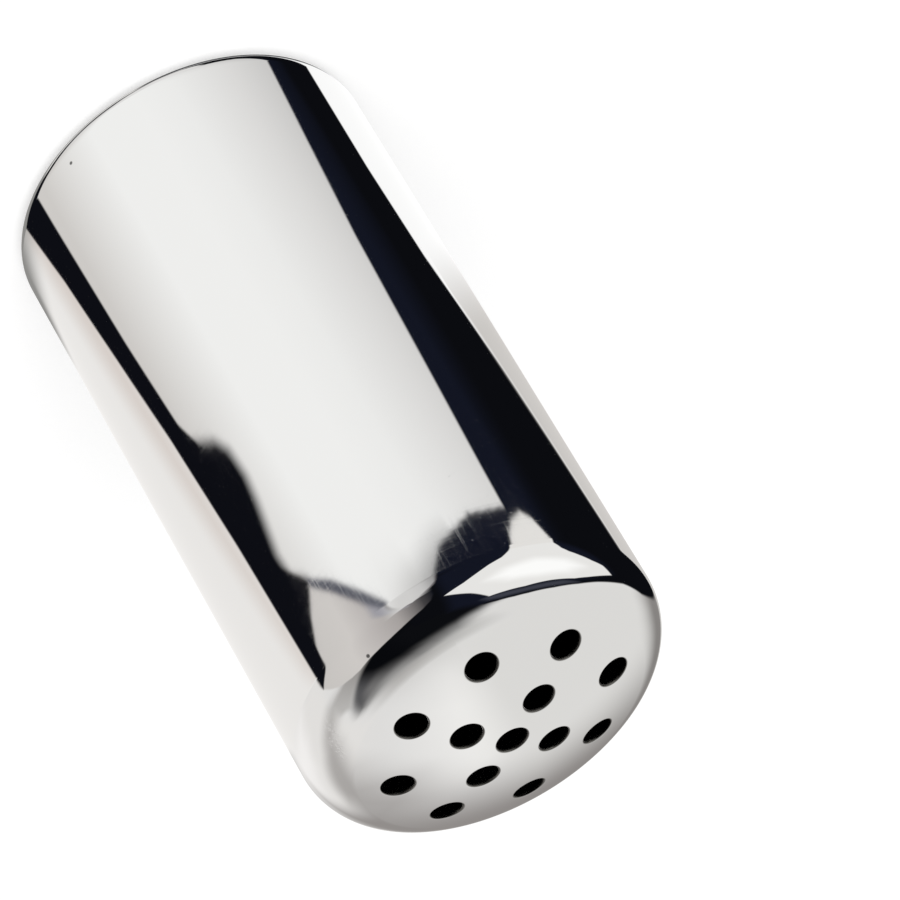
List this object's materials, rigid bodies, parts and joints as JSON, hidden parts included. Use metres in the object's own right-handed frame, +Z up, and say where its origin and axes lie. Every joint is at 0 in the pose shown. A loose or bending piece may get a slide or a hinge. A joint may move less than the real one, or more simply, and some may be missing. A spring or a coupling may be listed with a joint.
{
  "type": "sprinkling shaker",
  "caption": "Round stainless-steel shaker for dry spice: a drawn shell with a perforated domed head, filled through a screw-in base with a seal ring.",
  "frame": {"origin": "centre of the base, on the surface that the shaker stands on", "axes": "+Z up from the base to the perforated head, +X through one hole of each ring and along the plug's grip bar"},
  "size_m": [0.07, 0.07, 0.1419],
  "materials": {
    "polished_steel": "mirror-polished stainless steel with fine wiping scratches",
    "collar_plastic": "moulded, satin",
    "seal_silicone": "satin silicone",
    "plug_plastic": "moulded, fine spark-eroded grain"
  },
  "bodies": {
    "shell": {"shell": "polished_steel", "thread_collar": "collar_plastic"},
    "seal": {"seal_ring": "seal_silicone"},
    "plug": {"base_plug": "plug_plastic"}
  },
  "joints": [
    {"name": "base_draw", "type": "slide", "parent": "shell", "child": "seal", "axis": [0, 0, -1], "range_m": [0, 0.0141]},
    {"name": "base_turn", "type": "hinge", "parent": "seal", "child": "plug", "pos_m": [0, 0, 0], "axis": [0, 0, -1], "range_deg": [0, 420]}
  ],
  "couplings": [
    {"joint": "base_draw", "follows": "base_turn", "m_per_rad": 0.0019099}
  ]
}
